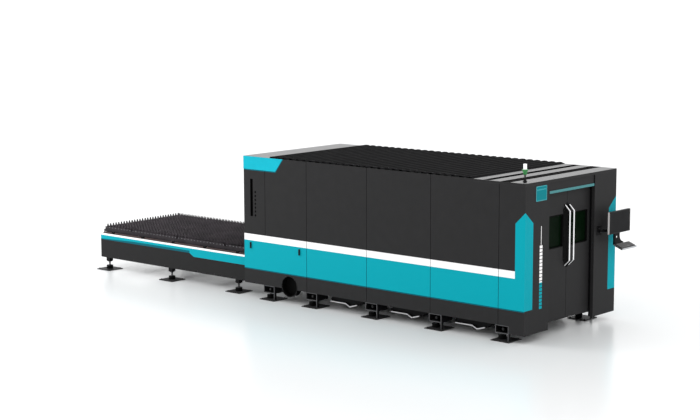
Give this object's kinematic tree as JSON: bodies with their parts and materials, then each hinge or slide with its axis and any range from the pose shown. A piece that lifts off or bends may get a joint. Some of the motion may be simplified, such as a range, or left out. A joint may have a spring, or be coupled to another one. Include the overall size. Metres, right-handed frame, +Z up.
{
  "type": "fiber laser cutting machine",
  "caption": "Enclosed sheet metal laser cutting machine: long panelled cabin on levelling feet, sliding doors, swivel console, and an exchange table with a slatted pallet.",
  "frame": {"origin": "on the floor under the middle of the machine's bounding box", "axes": "+X along the machine from the exchange table to the door end, +Y to the console side, +Z up"},
  "size_m": [9.3956, 2.415, 2.49],
  "materials": {
    "dark_paint": "satin dark grey fine-texture powder coat; turquoise and white bands are painted on it",
    "black_paint": "satin black powder coat",
    "roof_paint": "satin mid grey powder coat",
    "bed_paint": "satin grey machine enamel",
    "zinc": "zinc plated sheet",
    "bare_steel": "machined or ground bare steel",
    "slat_steel": "dark mill-scale steel, heat tinted",
    "warm_steel": "brownish oiled steel flats",
    "stainless": "polished stainless steel",
    "safety_glass": "dark green laser safety glass",
    "lamp_green": "green translucent lens",
    "lamp_white": "white translucent lens",
    "black_plastic": "black moulded plastic",
    "aluminium": "anodised aluminium",
    "light_bar": "turquoise diffuser"
  },
  "bodies": {
    "machine": {"near_upper_panel_1": "dark_paint", "near_upper_panel_2": "dark_paint", "near_access_cover": "dark_paint", "near_panel_3": "dark_paint", "near_panel_4": "dark_paint", "near_panel_5": "dark_paint", "far_side_panels": "dark_paint", "pillar_near": "dark_paint", "pillar_far": "dark_paint", "header_panel": "dark_paint", "rear_portal": "dark_paint", "side_frames": "black_paint", "roof_frame": "black_paint", "roof_slats": "black_paint", "roof_cross_covers": "roof_paint", "lintel_light": "light_bar", "door_rail": "black_paint", "signal_lamp_base": "black_paint", "signal_lamp_green": "lamp_green", "signal_lamp_white": "lamp_white", "ground_plates": "black_paint", "levelling_feet": "bare_steel", "foot_brackets": "black_paint", "bed_frame": "bed_paint", "dust_collar": "black_paint", "table_frame": "black_paint", "table_skirt_near": "dark_paint", "table_skirt_far": "dark_paint", "guide_blocks": "black_paint", "guide_bars": "warm_steel", "pallet_rails": "bare_steel", "drive_motor": "black_paint", "x_rails": "bare_steel", "console_bracket": "black_paint"},
    "door_near": {"door_leaf_near": "dark_paint", "door_glass_near": "safety_glass", "door_handle_near": "stainless"},
    "door_far": {"door_leaf_far": "dark_paint", "door_glass_far": "safety_glass", "door_handle_far": "stainless"},
    "upper_pallet": {"upper_pallet_frame": "slat_steel", "upper_pallet_slats": "slat_steel", "upper_pallet_wheels": "bare_steel"},
    "lower_pallet": {"lower_pallet_frame": "slat_steel", "lower_pallet_slats": "slat_steel", "lower_pallet_wheels": "bare_steel"},
    "drive_shaft": {"drive_shaft": "bare_steel"},
    "gantry": {"gantry_beam": "aluminium"},
    "carriage": {"carriage": "black_paint"},
    "z_axis": {"z_slide": "aluminium", "cutting_head": "stainless"},
    "console_arm": {"console_arm": "black_paint"},
    "console_post": {"console_post": "black_paint", "keyboard_tray": "aluminium"},
    "monitor": {"monitor": "black_plastic"},
    "cover_latch_1": {"cover_latch_1": "black_paint"},
    "cover_latch_2": {"cover_latch_2": "black_paint"},
    "slag_drawer_1": {"slag_drawer_1": "zinc"},
    "slag_drawer_2": {"slag_drawer_2": "zinc"},
    "slag_drawer_3": {"slag_drawer_3": "zinc"}
  },
  "joints": [
    {"name": "door_near_slide", "type": "slide", "parent": "machine", "child": "door_near", "axis": [0, -1, 0], "range_m": [0, 0.488]},
    {"name": "door_far_slide", "type": "slide", "parent": "machine", "child": "door_far", "axis": [0, 1, 0], "range_m": [0, 0.488]},
    {"name": "upper_pallet_slide", "type": "slide", "parent": "machine", "child": "upper_pallet", "axis": [1, 0, 0], "range_m": [0, 4]},
    {"name": "lower_pallet_slide", "type": "slide", "parent": "machine", "child": "lower_pallet", "axis": [-1, 0, 0], "range_m": [0, 4]},
    {"name": "drive_shaft_spin", "type": "hinge", "parent": "machine", "child": "drive_shaft", "pos_m": [-4.50781, -0.0125, 0.517], "axis": [0, 1, 0], "continuous": true},
    {"name": "gantry_slide", "type": "slide", "parent": "machine", "child": "gantry", "axis": [-1, 0, 0], "range_m": [0, 3.2]},
    {"name": "carriage_slide", "type": "slide", "parent": "gantry", "child": "carriage", "axis": [0, 1, 0], "range_m": [-0.72, 0.72]},
    {"name": "z_axis_slide", "type": "slide", "parent": "carriage", "child": "z_axis", "axis": [0, 0, -1], "range_m": [0, 0.185]},
    {"name": "console_arm_swivel", "type": "hinge", "parent": "machine", "child": "console_arm", "pos_m": [4.36619, 0.6875, 1.372], "axis": [0, 0, 1], "range_deg": [-40, 5]},
    {"name": "console_post_swivel", "type": "hinge", "parent": "console_arm", "child": "console_post", "pos_m": [4.46261, 0.80241, 1.372], "axis": [0, 0, 1], "range_deg": [-30, 12]},
    {"name": "monitor_tilt", "type": "hinge", "parent": "console_post", "child": "monitor", "pos_m": [4.4874, 0.9275, 1.42], "axis": [0, 1, 0], "range_deg": [-15, 5]},
    {"name": "cover_latch_1_turn", "type": "hinge", "parent": "machine", "child": "cover_latch_1", "pos_m": [-0.87181, -1.1625, 0.83], "axis": [0, 1, 0], "range_deg": [0, 90]},
    {"name": "cover_latch_2_turn", "type": "hinge", "parent": "machine", "child": "cover_latch_2", "pos_m": [0.16119, -1.1625, 0.83], "axis": [0, 1, 0], "range_deg": [0, 90]},
    {"name": "slag_drawer_1_slide", "type": "slide", "parent": "machine", "child": "slag_drawer_1", "axis": [0, -1, 0], "range_m": [0, 0.9]},
    {"name": "slag_drawer_2_slide", "type": "slide", "parent": "machine", "child": "slag_drawer_2", "axis": [0, -1, 0], "range_m": [0, 0.9]},
    {"name": "slag_drawer_3_slide", "type": "slide", "parent": "machine", "child": "slag_drawer_3", "axis": [0, -1, 0], "range_m": [0, 0.9]}
  ],
  "couplings": [
    {"joint": "lower_pallet_slide", "follows": "upper_pallet_slide", "ratio": 1},
    {"joint": "drive_shaft_spin", "follows": "upper_pallet_slide", "rad_per_m": 16.667}
  ]
}
